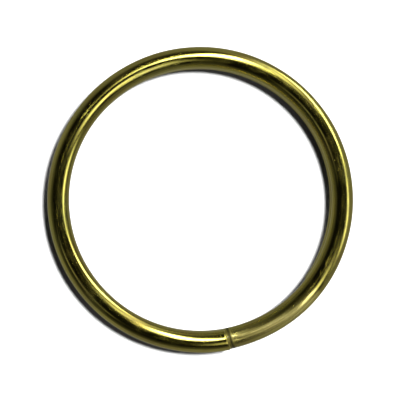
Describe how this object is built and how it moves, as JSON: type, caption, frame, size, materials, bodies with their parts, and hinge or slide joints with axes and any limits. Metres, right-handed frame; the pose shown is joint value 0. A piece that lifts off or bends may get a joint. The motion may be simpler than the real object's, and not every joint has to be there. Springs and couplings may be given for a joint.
{
  "type": "split key ring",
  "caption": "Split key ring of springy round wire in a flat double coil with one long, gentle crossover; either end is prised up to thread keys on.",
  "frame": {"origin": "on the ring's axis, midway between the two coils", "axes": "+Z along the ring's axis and out of the face that shows the upper free end, +X and +Y in the ring's plane, with the upper free end 281 degrees anticlockwise from +X seen from +Z"},
  "size_m": [0.032, 0.032, 0.0046],
  "materials": {
    "wire": "polished antique brass, darkened to a dull green-gold between the bright lines"
  },
  "bodies": {
    "lower_free_end": {"lower_free_end": "wire"},
    "lower_coil_2": {"lower_coil_2": "wire"},
    "lower_coil_3": {"lower_coil_3": "wire"},
    "lower_coil_4": {"lower_coil_4": "wire"},
    "lower_coil_5": {"lower_coil_5": "wire"},
    "crossover": {"lower_coil_6": "wire", "crossover": "wire", "upper_coil_1": "wire"},
    "upper_coil_2": {"upper_coil_2": "wire"},
    "upper_coil_3": {"upper_coil_3": "wire"},
    "upper_coil_4": {"upper_coil_4": "wire"},
    "upper_coil_5": {"upper_coil_5": "wire"},
    "upper_free_end": {"upper_free_end": "wire"}
  },
  "joints": [
    {"name": "lower_twist_1", "type": "hinge", "parent": "lower_free_end", "child": "lower_coil_2", "pos_m": [0.0143, 0.0041, -0.00115], "axis": [-0.2756, 0.9613, 0], "range_deg": [0, 0.6595]},
    {"name": "lower_twist_2", "type": "hinge", "parent": "lower_coil_2", "child": "lower_coil_3", "pos_m": [0.00533, 0.01389, -0.00115], "axis": [-0.9336, 0.3584, 0], "range_deg": [0, 2.11]},
    {"name": "lower_end_opens", "type": "hinge", "parent": "lower_coil_3", "child": "lower_coil_4", "pos_m": [-0.00788, 0.01261, -0.00115], "axis": [-0.848, -0.5299, 0], "range_deg": [0, 3.2], "stiffness_Nm_per_rad": 0.05, "springref_deg": -3.44},
    {"name": "lower_twist_4", "type": "hinge", "parent": "lower_coil_4", "child": "lower_coil_5", "pos_m": [-0.01482, 0.0013, -0.00115], "axis": [-0.0872, -0.9962, 0], "range_deg": [0, 3.06]},
    {"name": "lower_twist_5", "type": "hinge", "parent": "lower_coil_5", "child": "crossover", "pos_m": [-0.00995, -0.01105, -0.00115], "axis": [0.7431, -0.6691, 0], "range_deg": [0, 1.8]},
    {"name": "upper_twist_1", "type": "hinge", "parent": "crossover", "child": "upper_coil_2", "pos_m": [0.0143, 0.0041, 0.00115], "axis": [-0.2756, 0.9613, 0], "range_deg": [0, 1.8]},
    {"name": "upper_twist_2", "type": "hinge", "parent": "upper_coil_2", "child": "upper_coil_3", "pos_m": [0.00533, 0.01389, 0.00115], "axis": [-0.9336, 0.3584, 0], "range_deg": [0, 3.06]},
    {"name": "upper_end_opens", "type": "hinge", "parent": "upper_coil_3", "child": "upper_coil_4", "pos_m": [-0.00788, 0.01261, 0.00115], "axis": [-0.848, -0.5299, 0], "range_deg": [0, 3.2], "stiffness_Nm_per_rad": 0.05, "springref_deg": -3.44},
    {"name": "upper_twist_4", "type": "hinge", "parent": "upper_coil_4", "child": "upper_coil_5", "pos_m": [-0.01482, 0.0013, 0.00115], "axis": [-0.0872, -0.9962, 0], "range_deg": [0, 2.11]},
    {"name": "upper_twist_5", "type": "hinge", "parent": "upper_coil_5", "child": "upper_free_end", "pos_m": [-0.00995, -0.01105, 0.00115], "axis": [0.7431, -0.6691, 0], "range_deg": [0, 0.6595]}
  ],
  "couplings": [
    {"joint": "lower_twist_1", "follows": "lower_end_opens", "ratio": 0.20593},
    {"joint": "lower_twist_2", "follows": "lower_end_opens", "ratio": 0.65973},
    {"joint": "lower_twist_4", "follows": "lower_end_opens", "ratio": 0.95576},
    {"joint": "lower_twist_5", "follows": "lower_end_opens", "ratio": 0.56225},
    {"joint": "upper_twist_1", "follows": "upper_end_opens", "ratio": 0.56225},
    {"joint": "upper_twist_2", "follows": "upper_end_opens", "ratio": 0.95576},
    {"joint": "upper_twist_4", "follows": "upper_end_opens", "ratio": 0.65973},
    {"joint": "upper_twist_5", "follows": "upper_end_opens", "ratio": 0.20593}
  ]
}
